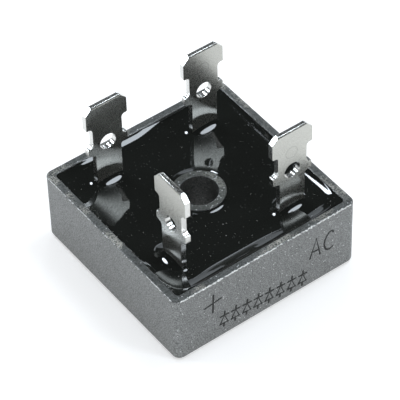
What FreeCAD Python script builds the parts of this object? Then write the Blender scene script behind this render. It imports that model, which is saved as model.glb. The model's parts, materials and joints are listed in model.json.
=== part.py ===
import FreeCAD, Part
import math
import os

# Square bridge rectifier in a metal cup, with four blade terminals and a centre bore for one screw.
# Millimetres, +Z up. The origin is the centre of the cup's flat underside. -Y is the marked side.
# The circuit is a ring round the boss: four silicon chips, each between a lower plate (one for
# each AC terminal) and an upper strap (positive or negative). Black epoxy fills the cup over it.

# Cup
CASE_SIDE = 28.6
CASE_HEIGHT = 10.8
CASE_CORNER_R = 1.1
CASE_BASE_EDGE_R = 0.6
RIM_WALL = 1.1
RIM_EDGE_BREAK = 0.12
FLOOR_T = 2.0
POCKET_CORNER_R = 0.5
POCKET_FLOOR_R = 0.4
CAST_DRAFT_DEG = 1.5

# Centre boss and its bore, for a 5 mm screw
BOSS_TOP_D = 7.15
BOSS_BELOW_RIM = 0.5
BORE_D = 5.1
BORE_MOUTH_CHAMFER = 0.1

# Epoxy: its level, and how it creeps up what it touches
POTTING_BELOW_RIM = 1.0
WALL_CLIMB = 0.8
CORNER_CLIMB = 0.9
BOSS_CLIMB = 0.35
TERMINAL_CLIMB = 0.9
CREEP_LENGTH = 1.4
CREEP_END = 0.1
CREEP_STEPS = 4
POOL_CORNER_R = 3.5
SKIRT_TOP_CORNER_R = 0.1

# Circuit stack, from the floor up
INSULATOR_T = 0.6
INSULATOR_WALL_GAP = 0.7
INSULATOR_BOSS_GAP = 0.3
PLATE_T = 0.8
SOLDER_T = 0.1
CHIP_T = 0.3
STRAP_T = 0.6

# Circuit in plan
CHIP_SIDE = 4.6
CHIP_EDGE_MARGIN = 0.4
PLATE_WALL_GAP = 1.8
PLATE_CORNER_CUT = 1.0
SOLDER_EDGE_MARGIN = 0.15

# Blade terminals, sizes along the blade counted down from its top
TERMINAL_TOP = 23.85
TERMINAL_T = 0.8
HEAD_W = 6.3
HEAD_H = 3.5
HEAD_CORNER_ACROSS = 1.0
HEAD_CORNER_DOWN = 1.0
HEAD_BEVEL_DOWN = 0.2
HEAD_BEVEL_IN = 0.14
NECK_W = 4.55
NECK_H = 3.35
NOTCH_R = 0.5
EAR_W = 6.1
EAR_H = 1.2
EAR_TAPER = 0.35
EAR_CORNER_R = 0.2
STEM_W = 4.0
STEM_ROOT_R = 0.3
HOLE_D = 2.4
HOLE_DOWN = 6.9
BEND_R = 0.5
FOOT_END_MARGIN = 0.6

# Where the blades stand: half the distance between blade centres
BLADE_X = 7.6
BLADE_Y = 9.2
POSITIVE_X = 9.5
POSITIVE_Y = 7.7

# How far a cutting shape reaches past what it cuts, and the smallest length that counts
CLEAR = 1.0
TINY = 1e-6

Z = FreeCAD.Vector(0, 0, 1)
ORIGIN = FreeCAD.Vector(0, 0, 0)

# Heights worked out from the sizes above
BOSS_TOP = CASE_HEIGHT - BOSS_BELOW_RIM
POTTING_LEVEL = CASE_HEIGHT - POTTING_BELOW_RIM
PLATE_Z = FLOOR_T + INSULATOR_T
LOWER_SOLDER_Z = PLATE_Z + PLATE_T
CHIP_Z = LOWER_SOLDER_Z + SOLDER_T
UPPER_SOLDER_Z = CHIP_Z + CHIP_T
STRAP_Z = UPPER_SOLDER_Z + SOLDER_T
DRAFT = math.tan(math.radians(CAST_DRAFT_DEG))


def vec(x, y, z):
    return FreeCAD.Vector(x, y, z)


def pocket_side(z):
    """Width of the cup's pocket at height z: it narrows towards the floor."""
    return CASE_SIDE - 2 * RIM_WALL - 2 * (CASE_HEIGHT - z) * DRAFT


def boss_radius(z):
    """Outside radius of the boss at height z: it widens towards the floor."""
    return BOSS_TOP_D / 2 + (BOSS_TOP - z) * DRAFT


# The ring of plates and straps, in plan: its arms keep clear of the cup's wall
PLATE_W = CHIP_SIDE + 2 * CHIP_EDGE_MARGIN
RING_OUTER = pocket_side(PLATE_Z) / 2 - PLATE_WALL_GAP
RING_INNER = RING_OUTER - PLATE_W
CHIP_RING_R = (RING_OUTER + RING_INNER) / 2


def corner_arc(before, corner, after, radius):
    """Start, middle and end of the arc of this radius that rounds one corner of an outline."""
    to_before = (before - corner).normalize()
    to_after = (after - corner).normalize()
    half = to_before.getAngle(to_after) / 2
    centre_line = (to_before + to_after).normalize()
    centre = corner + centre_line * (radius / math.sin(half))
    reach = radius / math.tan(half)
    middle = centre - centre_line * radius
    return corner + to_before * reach, middle, corner + to_after * reach


def outline(corners):
    """A closed wire through (point, radius) corners, with a round of that radius at each."""
    points = [point for point, radius in corners]
    count = len(corners)
    starts, ends, edges = [], [], []
    for i, (point, radius) in enumerate(corners):
        if radius > 0:
            start, middle, end = corner_arc(points[i - 1], point, points[(i + 1) % count], radius)
            edges.append(Part.Arc(start, middle, end).toShape())
        else:
            start, end = point, point
        starts.append(start)
        ends.append(end)
    for i in range(count):
        following = starts[(i + 1) % count]
        if ends[i].distanceToPoint(following) > TINY:
            edges.append(Part.LineSegment(ends[i], following).toShape())
    return Part.Wire(Part.__sortEdges__(edges))


def prism(wire, direction):
    return Part.Face(wire).extrude(direction)


def rectangle_wire(x_size, y_size, radius, z, x=0.0, y=0.0):
    a, b = x_size / 2, y_size / 2
    spots = [(x - a, y - b), (x + a, y - b), (x + a, y + b), (x - a, y + b)]
    return outline([(vec(px, py, z), radius) for px, py in spots])


def slab(x_size, y_size, radius, z, thickness, x=0.0, y=0.0):
    return prism(rectangle_wire(x_size, y_size, radius, z, x, y), Z * thickness)


def turned(profile):
    """A closed (radius, height) outline, given as a wire in the XZ plane, turned about +Z."""
    return Part.Face(profile).revolve(ORIGIN, Z, 360)


def edges_at_height(shape, z):
    flat = [edge for edge in shape.Edges if edge.BoundBox.ZLength < TINY]
    return [edge for edge in flat if abs(edge.BoundBox.ZMin - z) < TINY]


# Cup

def boss():
    foot = FLOOR_T - CLEAR
    return Part.makeCone(boss_radius(foot), boss_radius(BOSS_TOP), BOSS_TOP - foot, vec(0, 0, foot))


def cup_space():
    """The room inside the cup, from its floor to above its rim, round the boss."""
    top = CASE_HEIGHT + CLEAR
    low, high = pocket_side(FLOOR_T) / 2, pocket_side(top) / 2
    room = Part.makeWedge(-low, FLOOR_T, -low, -high, -high, low, top, low, high, high)
    room.rotate(ORIGIN, vec(1, 0, 0), 90)
    upright = [edge for edge in room.Edges if edge.BoundBox.ZLength > TINY]
    room = room.makeFillet(POCKET_CORNER_R, upright)
    room = room.makeFillet(POCKET_FLOOR_R, edges_at_height(room, FLOOR_T))
    return room.cut(boss())


def bore():
    """The screw hole with a chamfer at each mouth."""
    r = BORE_D / 2
    mouth = r + BORE_MOUTH_CHAMFER + CLEAR
    corners = [
        (0, -CLEAR), (mouth, -CLEAR), (r, BORE_MOUTH_CHAMFER),
        (r, BOSS_TOP - BORE_MOUTH_CHAMFER), (mouth, BOSS_TOP + CLEAR), (0, BOSS_TOP + CLEAR),
    ]
    return turned(outline([(vec(a, 0, b), 0) for a, b in corners]))


def make_case():
    block = slab(CASE_SIDE, CASE_SIDE, CASE_CORNER_R, 0, CASE_HEIGHT)
    block = block.makeFillet(CASE_BASE_EDGE_R, edges_at_height(block, 0))
    cup = block.cut(cup_space())
    cup = cup.makeChamfer(RIM_EDGE_BREAK, edges_at_height(cup, CASE_HEIGHT))
    return cup.cut(bore())


# Circuit inside the cup

def make_insulator():
    side = pocket_side(FLOOR_T) - 2 * INSULATOR_WALL_GAP
    plate = slab(side, side, POCKET_CORNER_R, FLOOR_T, INSULATOR_T)
    hole_r = boss_radius(FLOOR_T) + INSULATOR_BOSS_GAP
    return plate.cut(Part.makeCylinder(hole_r, INSULATOR_T, vec(0, 0, FLOOR_T)))


def ell(corner_x, corner_y, z, thickness):
    """A flat L round one corner of the ring, its outer corner cut, with an arm over each chip."""
    out, inn, end = RING_OUTER, RING_INNER, -PLATE_W / 2
    cut = out - PLATE_CORNER_CUT
    spots = [(end, out), (cut, out), (out, cut), (out, end), (inn, end), (inn, inn), (end, inn)]
    corners = [(vec(corner_x * a, corner_y * b, z), 0) for a, b in spots]
    return prism(outline(corners), Z * thickness)


def chip_places():
    """Chip 1 at -X, then round the ring: 2 at +Y, 3 at +X, 4 at -Y."""
    r = CHIP_RING_R
    return [(-r, 0), (0, r), (r, 0), (0, -r)]


def make_chip(x, y):
    return slab(CHIP_SIDE, CHIP_SIDE, 0, CHIP_Z, CHIP_T, x, y)


def make_chip_solder(x, y, z):
    side = CHIP_SIDE - 2 * SOLDER_EDGE_MARGIN
    return slab(side, side, 0, z, SOLDER_T, x, y)


# Blade terminals

def blade_front():
    """The stamped outline, seen from the front: head, notched neck, ears and stem, down to z 0."""
    notch = TERMINAL_TOP - HEAD_H
    ear_top = notch - NECK_H
    ear_low = ear_top - EAR_H
    half = [
        (HEAD_W / 2 - HEAD_CORNER_ACROSS, TERMINAL_TOP, 0),
        (HEAD_W / 2, TERMINAL_TOP - HEAD_CORNER_DOWN, 0),
        (HEAD_W / 2, notch, EAR_CORNER_R),
        (NECK_W / 2, notch, NOTCH_R),
        (NECK_W / 2, ear_top, NOTCH_R),
        (EAR_W / 2, ear_top, EAR_CORNER_R),
        (EAR_W / 2, ear_low, EAR_CORNER_R),
        (STEM_W / 2, ear_low - EAR_TAPER, STEM_ROOT_R),
        (STEM_W / 2, 0, 0),
    ]
    other_half = [(-u, z, r) for u, z, r in reversed(half)]
    return outline([(vec(u, 0, z), r) for u, z, r in half + other_half])


def foot_reach(stand_off):
    """From the blade's middle to its foot's end, for a blade this far from the cup's middle."""
    return stand_off - RING_INNER - FOOT_END_MARGIN


def blade_side(foot_z, reach):
    """The section across the sheet: bevelled top, straight blade, bend, and flat foot along +Y."""
    t = TERMINAL_T
    bend_z = foot_z + t + BEND_R
    corners = [
        (-t / 2 + HEAD_BEVEL_IN, TERMINAL_TOP, 0),
        (-t / 2, TERMINAL_TOP - HEAD_BEVEL_DOWN, 0),
        (-t / 2, foot_z, BEND_R + t),
        (reach, foot_z, 0),
        (reach, foot_z + t, 0),
        (t / 2, foot_z + t, BEND_R),
        (t / 2, TERMINAL_TOP - HEAD_BEVEL_DOWN, 0),
        (t / 2 - HEAD_BEVEL_IN, TERMINAL_TOP, 0),
    ]
    return outline([(vec(0, n, z), r) for n, z, r in corners])


def blade(foot_z, reach):
    """One terminal at the origin, its face towards -Y and its foot along +Y, standing at foot_z."""
    front = prism(blade_front(), vec(0, TERMINAL_T + reach + CLEAR, 0))
    front.translate(vec(0, -TERMINAL_T, 0))
    side = prism(blade_side(foot_z, reach), vec(HEAD_W, 0, 0))
    side.translate(vec(-HEAD_W / 2, 0, 0))
    hole_z = TERMINAL_TOP - HOLE_DOWN
    hole = Part.makeCylinder(HOLE_D / 2, 2 * TERMINAL_T, vec(0, -TERMINAL_T, hole_z), vec(0, 1, 0))
    return front.common(side).cut(hole)


def placed(shape, x, y, turn):
    moved = shape.copy()
    moved.rotate(ORIGIN, Z, turn)
    moved.translate(vec(x, y, 0))
    return moved


def foot_solder(foot_z, reach):
    """The solder under one foot, from the end of the bend to the foot's end."""
    start = BEND_R + TERMINAL_T / 2
    side = STEM_W - 2 * SOLDER_EDGE_MARGIN
    return slab(side, reach - start, 0, foot_z - SOLDER_T, SOLDER_T, 0, (start + reach) / 2)


# Each terminal: name, blade centre, the turn that points its foot inwards, what it stands on
ON_PLATE = PLATE_Z + PLATE_T
ON_STRAP = STRAP_Z + STRAP_T
TERMINALS = [
    ("ac_1", -BLADE_X, BLADE_Y, 180, ON_PLATE),
    ("ac_2", BLADE_X, -BLADE_Y, 0, ON_PLATE),
    ("positive", -POSITIVE_X, -POSITIVE_Y, -90, ON_STRAP),
    ("negative", BLADE_X, BLADE_Y, 180, ON_STRAP),
]


def add_terminal(pieces, name, x, y, turn, base):
    """One blade and the solder that joins its foot to the plate or strap below it."""
    foot_z = base + SOLDER_T
    stand_off = abs(x) if turn in (-90, 90) else abs(y)
    reach = foot_reach(stand_off)
    pieces[f"solder_foot_{name}"] = placed(foot_solder(foot_z, reach), x, y, turn)
    pieces[f"terminal_{name}"] = placed(blade(foot_z, reach), x, y, turn)


# Epoxy

def creep_steps(climb, beyond=0):
    """The epoxy's curve up something it climbs, from the level to the top: each step's distance
    out and its rise. Liquid falls away from what it wets by the same share for each step out."""
    reach = CREEP_LENGTH * math.log(1 + climb / CREEP_END)
    outs = [reach * (1 - i / CREEP_STEPS) for i in range(CREEP_STEPS + 1 + beyond)]
    return [(out, (climb + CREEP_END) * math.exp(-out / CREEP_LENGTH) - CREEP_END) for out in outs]


def boss_creep():
    """The low ring of epoxy that climbs the boss, down to the level."""
    r = boss_radius(POTTING_LEVEL)
    curve = [(r + out, POTTING_LEVEL + rise) for out, rise in creep_steps(BOSS_CLIMB)]
    corners = [(0, POTTING_LEVEL)] + curve + [(0, POTTING_LEVEL + BOSS_CLIMB)]
    return turned(outline([(vec(a, 0, b), 0) for a, b in corners]))


def terminal_creep():
    """The skirt of epoxy that climbs one stem, lofted through rounded rectangles."""
    wires = []
    for out, rise in creep_steps(TERMINAL_CLIMB):
        corner = out + SKIRT_TOP_CORNER_R
        z = POTTING_LEVEL + rise
        wires.append(rectangle_wire(STEM_W + 2 * out, TERMINAL_T + 2 * out, corner, z))
    return Part.makeLoft(wires, True, True)


def open_space():
    """The air above the epoxy: a dish that curves out to the pocket's walls, where it stops short of
    the corners, less what creeps up the boss and the stems."""
    wires = []
    for out, rise in creep_steps(WALL_CLIMB, 1):
        z = POTTING_LEVEL + rise
        side = pocket_side(z) - 2 * out
        wires.append(rectangle_wire(side, side, POOL_CORNER_R, z))
    dish = Part.makeLoft(wires, True, True)
    above = slab(CASE_SIDE, CASE_SIDE, 0, POTTING_LEVEL + CORNER_CLIMB, CASE_HEIGHT)
    skirts = [placed(terminal_creep(), x, y, turn) for name, x, y, turn, base in TERMINALS]
    return dish.fuse(above).cut(skirts + [boss_creep()])


def make_potting(sunk):
    """The epoxy: what fills the cup up to its curved skin, less the pieces sunk in it."""
    return cup_space().cut(open_space()).cut(sunk)


def build():
    pieces = {"case": make_case(), "insulator_plate": make_insulator()}
    pieces["plate_ac_1"] = ell(-1, 1, PLATE_Z, PLATE_T)
    pieces["plate_ac_2"] = ell(1, -1, PLATE_Z, PLATE_T)
    pieces["strap_positive"] = ell(-1, -1, STRAP_Z, STRAP_T)
    pieces["strap_negative"] = ell(1, 1, STRAP_Z, STRAP_T)
    for i, (x, y) in enumerate(chip_places(), 1):
        pieces[f"solder_lower_{i}"] = make_chip_solder(x, y, LOWER_SOLDER_Z)
        pieces[f"diode_chip_{i}"] = make_chip(x, y)
        pieces[f"solder_upper_{i}"] = make_chip_solder(x, y, UPPER_SOLDER_Z)
    for terminal in TERMINALS:
        add_terminal(pieces, *terminal)
    sunk = [shape for name, shape in pieces.items() if name != "case"]
    pieces["potting"] = make_potting(sunk)
    return pieces


def main():
    os.makedirs("parts", exist_ok=True)
    for name, shape in build().items():
        solid = shape.removeSplitter()
        solid.exportStep(f"parts/{name}.step")
        print(f"{name}: {len(solid.Solids)} solid, {solid.Volume:.2f} mm3, valid {solid.isValid()}")


main()
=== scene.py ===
# %% [markdown]
# Bridge rectifier, dressed for a photograph
#
# The real thing is a square metal cup, about 29 mm on a side, filled with black epoxy. Four plated
# blades stand up out of the epoxy and a hole for one screw goes through the middle. The solids are
# already right, so this script gives them their finishes: blasted metal, glossy cast resin and
# stamped, plated sheet. Every length here is in metres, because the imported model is.

import json
import math

import bmesh
import bpy
import numpy as np
from mathutils import Matrix, Vector


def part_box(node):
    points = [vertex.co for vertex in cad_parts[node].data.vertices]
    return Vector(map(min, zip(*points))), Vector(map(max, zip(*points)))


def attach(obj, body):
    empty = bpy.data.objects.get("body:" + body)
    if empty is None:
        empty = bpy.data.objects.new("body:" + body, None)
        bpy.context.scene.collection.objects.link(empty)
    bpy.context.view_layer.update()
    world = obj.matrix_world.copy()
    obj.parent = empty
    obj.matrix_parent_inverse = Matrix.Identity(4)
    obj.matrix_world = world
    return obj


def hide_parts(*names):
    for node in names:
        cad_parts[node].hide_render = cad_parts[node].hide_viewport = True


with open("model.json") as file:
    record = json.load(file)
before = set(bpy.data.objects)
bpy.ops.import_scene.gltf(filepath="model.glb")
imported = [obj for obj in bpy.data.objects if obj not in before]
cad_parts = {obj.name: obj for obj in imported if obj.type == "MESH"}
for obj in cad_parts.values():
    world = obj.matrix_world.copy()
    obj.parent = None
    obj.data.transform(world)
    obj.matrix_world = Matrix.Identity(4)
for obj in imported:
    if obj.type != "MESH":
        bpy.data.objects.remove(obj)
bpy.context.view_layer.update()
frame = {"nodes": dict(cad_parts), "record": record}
MM = 0.001
print("nodes:", len(frame["nodes"]))

# %% [markdown]
# Sizes come from the frame wherever the frame knows them, so that a change in the solids carries
# over. The boxes of the cup and the resin give the main sizes, and the mount list says where each
# blade stands. All blades face the marked front, save the positive one, which is turned a quarter.
# Only what the frame can't say, such as how high the resin creeps, is written here.

# %% Read the main sizes
CUP = "case"
RESIN = "potting"
BLADE_ENDS = ("ac_1", "ac_2", "positive", "negative")
TURNED_BLADE = "positive"
BLADE_HALF_THICKNESS = 0.4 * MM
RESIN_BELOW_RIM = 1.0 * MM
mounts = {mount["name"]: mount for mount in frame["record"]["mounts"]}
cup_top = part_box(CUP)[1]
resin_foot, resin_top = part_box(RESIN)
cup_half = cup_top.x
rim_height = cup_top.z
pocket_half = resin_top.x
resin_level = rim_height - RESIN_BELOW_RIM
print("cup half side", cup_half, "rim", rim_height, "pocket half", pocket_half)

# %% [markdown]
# Blender keeps a thing's data, such as its mesh, apart from the object that stands in the scene.
# Every piece, lamp and camera below needs both, so one small helper makes the object and links it.

# %% Helper for new objects


def stand(name, data):
    """Puts an object with this data into the scene."""
    thing = bpy.data.objects.new(name, data)
    bpy.context.scene.collection.objects.link(thing)
    return thing


print("helper ready:", stand.__name__)

# %% [markdown]
# The camera comes first, because every other choice is judged through it. Its place was worked out
# from the cup's straight edges: it looks down at 46 degrees from the front left, through a long
# lens, so the edges hardly converge. A small roll and shift of aim match the frame.

# %% Place the camera
CAMERA_AZIMUTH = math.radians(-35.55)
CAMERA_ELEVATION = math.radians(46.2)
CAMERA_ROLL = math.radians(-1.78)
CAMERA_DISTANCE = 329.5 * MM
CAMERA_LENS = 229.3
AIM = Vector((0, 0, 5 * MM))
AIM_RIGHT = 0.028 * MM
AIM_UP = 2.43 * MM
NEAREST_SEEN = 10 * MM
FARTHEST_SEEN = 20


def camera_axes(azimuth, elevation, roll):
    """Right, up and back of a camera that looks at the middle from this direction."""
    back = Vector((
        math.sin(azimuth) * math.cos(elevation),
        -math.cos(azimuth) * math.cos(elevation),
        math.sin(elevation),
    ))
    right = Vector((math.cos(azimuth), math.sin(azimuth), 0))
    up = back.cross(right)
    rolled_right = right * math.cos(roll) + up * math.sin(roll)
    rolled_up = up * math.cos(roll) - right * math.sin(roll)
    return rolled_right, rolled_up, back


def add_camera():
    right, up, back = camera_axes(CAMERA_AZIMUTH, CAMERA_ELEVATION, CAMERA_ROLL)
    camera = stand("camera", bpy.data.cameras.new("camera"))
    camera.data.lens = CAMERA_LENS
    camera.data.clip_start = NEAREST_SEEN
    camera.data.clip_end = FARTHEST_SEEN
    turn = Matrix((right, up, back)).transposed().to_4x4()
    place = AIM + right * AIM_RIGHT + up * AIM_UP + back * CAMERA_DISTANCE
    camera.matrix_world = Matrix.Translation(place) @ turn
    bpy.context.scene.camera = camera
    return camera


camera = add_camera()
print("camera at", [round(v, 4) for v in camera.matrix_world.translation])

# %% [markdown]
# Node trees are long to write by hand, so a small helper keeps them readable. It adds a node, sets
# its properties, and joins or fills its inputs by name. The nodes that come up most, such as Math,
# Map Range, Noise and Bump, get a short helper each that gives back the socket to go on with.

# %% Helpers for nodes


def add_node(tree, kind, inputs=None, **properties):
    """Adds one node. An input's value may be a socket, which is linked, or a plain value."""
    node = tree.nodes.new(kind)
    for name, value in properties.items():
        setattr(node, name, value)
    for name, value in (inputs or {}).items():
        if isinstance(value, bpy.types.NodeSocket):
            tree.links.new(value, node.inputs[name])
        else:
            node.inputs[name].default_value = value
    return node


def calculate(tree, operation, a, b=0.0):
    """One Math node. Returns its output socket."""
    node = add_node(tree, "ShaderNodeMath", {0: a, 1: b}, operation=operation)
    return node.outputs[0]


def between(tree, value, low, high, start=0.0, end=1.0):
    """Smoothly maps value from low..high to start..end."""
    node = add_node(tree, "ShaderNodeMapRange",
                    {"Value": value, 1: low, 2: high, 3: start, 4: end},
                    interpolation_type="SMOOTHSTEP")
    return node.outputs[0]


def blend_colours(tree, share, first, second):
    """Mixes two colours, given as sockets or as red, green, blue, alpha."""
    node = add_node(tree, "ShaderNodeMix", {0: share, 6: first, 7: second}, data_type="RGBA")
    return node.outputs[2]


def tint(tree, colour, tone):
    """Multiplies a plain colour by a tone socket."""
    node = add_node(tree, "ShaderNodeMix", {0: 1.0, 6: (*colour, 1), 7: tone},
                    data_type="RGBA", blend_type="MULTIPLY")
    return node.outputs[2]


def noise(tree, place, scale, detail=2.0, roughness=0.5):
    """Soft noise with about this many cells to the metre. Returns a value round 0.5."""
    node = add_node(tree, "ShaderNodeTexNoise",
                    {"Vector": place, "Scale": scale, "Detail": detail, "Roughness": roughness})
    return node.outputs[0]


def bump(tree, height, strength, distance):
    """One Bump node. Returns the normal, tilted by the slope of height."""
    node = add_node(tree, "ShaderNodeBump",
                    {"Strength": strength, "Distance": distance, "Height": height})
    return node.outputs["Normal"]


print("node helpers:", calculate.__name__, between.__name__, noise.__name__, bump.__name__)

# %% [markdown]
# A group is a tree with named sockets of its own. It is built once, and each material then places
# it with its own values. A material here is always one Principled shader with its sockets fed by
# such groups. Patterns take their place from Object coordinates, so they need no unwrapping.

# %% Helpers for groups and materials
NUMBER = "NodeSocketFloat"
WHOLE_NUMBER = "NodeSocketInt"
PLACE = "NodeSocketVector"


def new_tree(name, kind, inputs, outputs):
    """A node tree with named sockets. Returns the tree, its input node and its output node."""
    tree = bpy.data.node_groups.new(name, kind)
    for label, (socket_kind, value) in inputs.items():
        socket = tree.interface.new_socket(label, in_out="INPUT", socket_type=socket_kind)
        if value is not None:
            socket.default_value = value
    for label, socket_kind in outputs.items():
        tree.interface.new_socket(label, in_out="OUTPUT", socket_type=socket_kind)
    return tree, tree.nodes.new("NodeGroupInput"), tree.nodes.new("NodeGroupOutput")


def place_group(tree, group, inputs):
    """Places a shader group in a material and sets its sockets."""
    return add_node(tree, "ShaderNodeGroup", inputs, node_tree=group)


def new_material(name):
    """A material with one Principled shader. Returns the material, its tree, shader and place."""
    material = bpy.data.materials.new(name)
    material.use_nodes = True
    tree = material.node_tree
    shader = tree.nodes["Principled BSDF"]
    place = tree.nodes.new("ShaderNodeTexCoord").outputs["Object"]
    return material, tree, shader, place


print("group and material helpers:", new_tree.__name__, new_material.__name__)

# %% [markdown]
# A studio for small parts is a dark room with a white table in it. Flat resin looks up into the
# dark, so it stays black, and plated metal looks across the table, so it shines. The world gives
# both: mirror-like surfaces see a pale band at the height of the table and darkness above. The
# camera sees plain white, and the diffuse light is even and plain.

# %% Light the world
WORLD_LIGHT = 0.62
DARK_ROOM = 0.05
PALE_TABLE = 0.35
TABLE_TOP = 0.03
TABLE_FADE = 0.16


def seen_in_mirrors(tree, path):
    """One for rays that come by way of a mirror-like or clear surface, else zero."""
    return calculate(tree, "MAXIMUM", path.outputs["Is Glossy Ray"],
                     path.outputs["Is Transmission Ray"])


def light_world():
    world = bpy.data.worlds.new("studio")
    world.use_nodes = True
    bpy.context.scene.world = world
    tree = world.node_tree
    path = tree.nodes.new("ShaderNodeLightPath")
    toward = tree.nodes.new("ShaderNodeTexCoord").outputs["Generated"]
    height = add_node(tree, "ShaderNodeSeparateXYZ", {"Vector": toward}).outputs["Z"]
    table = between(tree, height, TABLE_TOP, TABLE_FADE, PALE_TABLE, 0.0)
    seen = calculate(tree, "MAXIMUM", table, DARK_ROOM)
    mirror = seen_in_mirrors(tree, path)
    plain = calculate(tree, "SUBTRACT", 1.0, mirror)
    strength = calculate(tree, "ADD", calculate(tree, "MULTIPLY", mirror, seen),
                         calculate(tree, "MULTIPLY", plain, WORLD_LIGHT))
    shown = calculate(tree, "MAXIMUM", strength, path.outputs["Is Camera Ray"])
    background = tree.nodes["Background"]
    background.inputs["Color"].default_value = (1, 1, 1, 1)
    tree.links.new(shown, background.inputs["Strength"])
    return world


world = light_world()
bpy.context.scene.view_settings.view_transform = "Standard"
print("world light", WORLD_LIGHT)

# %% [markdown]
# A glossy pool shows every lamp, so each lamp here has a gleam to draw. The key box hangs over the
# table and lights the metal; it is the soft bluish gleam wherever the resin leans 20 degrees to
# the front. The back lamp draws the hard lines on the right and the points beside the blades. The
# front box is seen only by way of a blade and the resin, as the blades' bright mirror images. The
# right lamp adds low glints, and the panel and strip low behind the table draw the pale crescent
# along the front wall. The left box lifts the left side of the cup, and by way of the front blade
# it draws the curl in the front corner.

# %% Hang the lamps
LAMPS = {
    "key_box": {"at": (205, -12, 450), "size": (190, 138), "radiance": 12.0, "down": True},
    "back_lamp": {"at": (-22, 355, 440), "size": (105, 120), "radiance": 32.0, "down": True},
    "front_box": {"at": (277, -442, 450), "size": (150, 125), "radiance": 22.0},
    "right_lamp": {"at": (385, 412, 205), "size": (70, 110), "radiance": 20.0},
    "back_panel": {"at": (282, 488, 205), "size": (90, 290), "radiance": 1.4},
    "back_strip": {"at": (250, 433, 337), "size": (90, 9), "radiance": 5.0},
    "left_box": {"at": (-339, 305, 223), "size": (90, 160), "radiance": 13.0},
}
LAMP_AIM = Vector((0, 0, 8 * MM))
COOL_LIGHT = (0.84, 0.92, 1.0)
OVAL_SHARE = math.pi / 4


def hang_lamp(name, at, size, radiance, down=False):
    """An oval area lamp, sized in millimetres, that faces the part or straight down. The radiance
    is how bright its own face shows in a mirror."""
    data = bpy.data.lights.new(name, "AREA")
    data.shape = "ELLIPSE"
    data.size, data.size_y = size[0] * MM, size[1] * MM
    data.energy = radiance * math.pi * OVAL_SHARE * data.size * data.size_y
    data.color = COOL_LIGHT
    lamp = stand(name, data)
    lamp.location = Vector(at) * MM
    if not down:
        lamp.rotation_euler = (LAMP_AIM - lamp.location).to_track_quat("-Z", "Y").to_euler()
    return lamp


lamps = [hang_lamp(name, **values) for name, values in LAMPS.items()]
print("lamps:", [lamp.name for lamp in lamps])

# %% [markdown]
# The floor is one pale sheet. Its own colour carries the shadow, and a little light that only the
# camera and mirror-like surfaces see lifts it to white, so nothing more falls on the object.

# %% Lay the floor
FLOOR_HALF = 3.0
FLOOR_DROP = 0.02 * MM
FLOOR_COLOUR = 0.70
FLOOR_ROUGH = 0.9
FLOOR_LIFT = 0.40


def lay_floor():
    mesh = bpy.data.meshes.new("floor")
    corners = [(-1, -1), (1, -1), (1, 1), (-1, 1)]
    mesh.from_pydata([(x * FLOOR_HALF, y * FLOOR_HALF, -FLOOR_DROP) for x, y in corners],
                     [], [(0, 1, 2, 3)])
    floor = stand("floor", mesh)
    material, tree, shader, _ = new_material("pale_floor")
    shader.inputs["Base Color"].default_value = (FLOOR_COLOUR, FLOOR_COLOUR, FLOOR_COLOUR, 1)
    shader.inputs["Roughness"].default_value = FLOOR_ROUGH
    shader.inputs["Specular IOR Level"].default_value = 0.0
    path = tree.nodes.new("ShaderNodeLightPath")
    shown = calculate(tree, "MAXIMUM", seen_in_mirrors(tree, path), path.outputs["Is Camera Ray"])
    shader.inputs["Emission Color"].default_value = (1, 1, 1, 1)
    lift = calculate(tree, "MULTIPLY", shown, FLOOR_LIFT)
    tree.links.new(lift, shader.inputs["Emission Strength"])
    mesh.materials.append(material)
    return floor


floor = lay_floor()
print("floor laid at", -FLOOR_DROP)

# %% [markdown]
# Blasted metal, plate, ink and the inner pieces all have a grain, each at its own scale. A picture
# of it would be fixed to one size, so one group makes it from noise: a fine noise over a coarse one
# gives a tone that wanders round one, and the fine noise alone gives a height for a Bump node. The
# height also moves the roughness a little.

# %% Build the grain group
FINE_SHARE = 0.85
COARSE_SHARE = 0.15
GRAIN_LOW, GRAIN_HIGH = 0.3, 0.7


def build_grain():
    tree, given, made = new_tree(
        "surface_grain", "ShaderNodeTree",
        {"Place": (PLACE, None), "Fine": (NUMBER, 6000.0), "Coarse": (NUMBER, 500.0),
         "Contrast": (NUMBER, 0.3)},
        {"Tone": NUMBER, "Height": NUMBER},
    )
    place = given.outputs["Place"]
    fine = noise(tree, place, given.outputs["Fine"], detail=3.0, roughness=0.6)
    coarse = noise(tree, place, given.outputs["Coarse"], detail=3.0)
    both = calculate(tree, "ADD", calculate(tree, "MULTIPLY", fine, FINE_SHARE),
                     calculate(tree, "MULTIPLY", coarse, COARSE_SHARE))
    spread = calculate(tree, "MULTIPLY", calculate(tree, "SUBTRACT", both, 0.5),
                       given.outputs["Contrast"])
    tree.links.new(calculate(tree, "ADD", spread, 1.0), made.inputs["Tone"])
    tree.links.new(fine, made.inputs["Height"])
    return tree


def rough_by_grain(tree, height, in_pits, on_peaks):
    """A roughness that changes from the pits of the grain to its peaks."""
    return between(tree, height, GRAIN_LOW, GRAIN_HIGH, in_pits, on_peaks)


grain_group = build_grain()
print("group:", grain_group.name)

# %% [markdown]
# Painted glints of crystal faces in the metal and pale dirt in the resin are both tiny round
# specks, strewn at random. Cells of a Voronoi pattern make them: only the cells whose random number
# is low enough get a speck, and the speck is the small round core of the cell.

# %% Build the specks group


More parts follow.
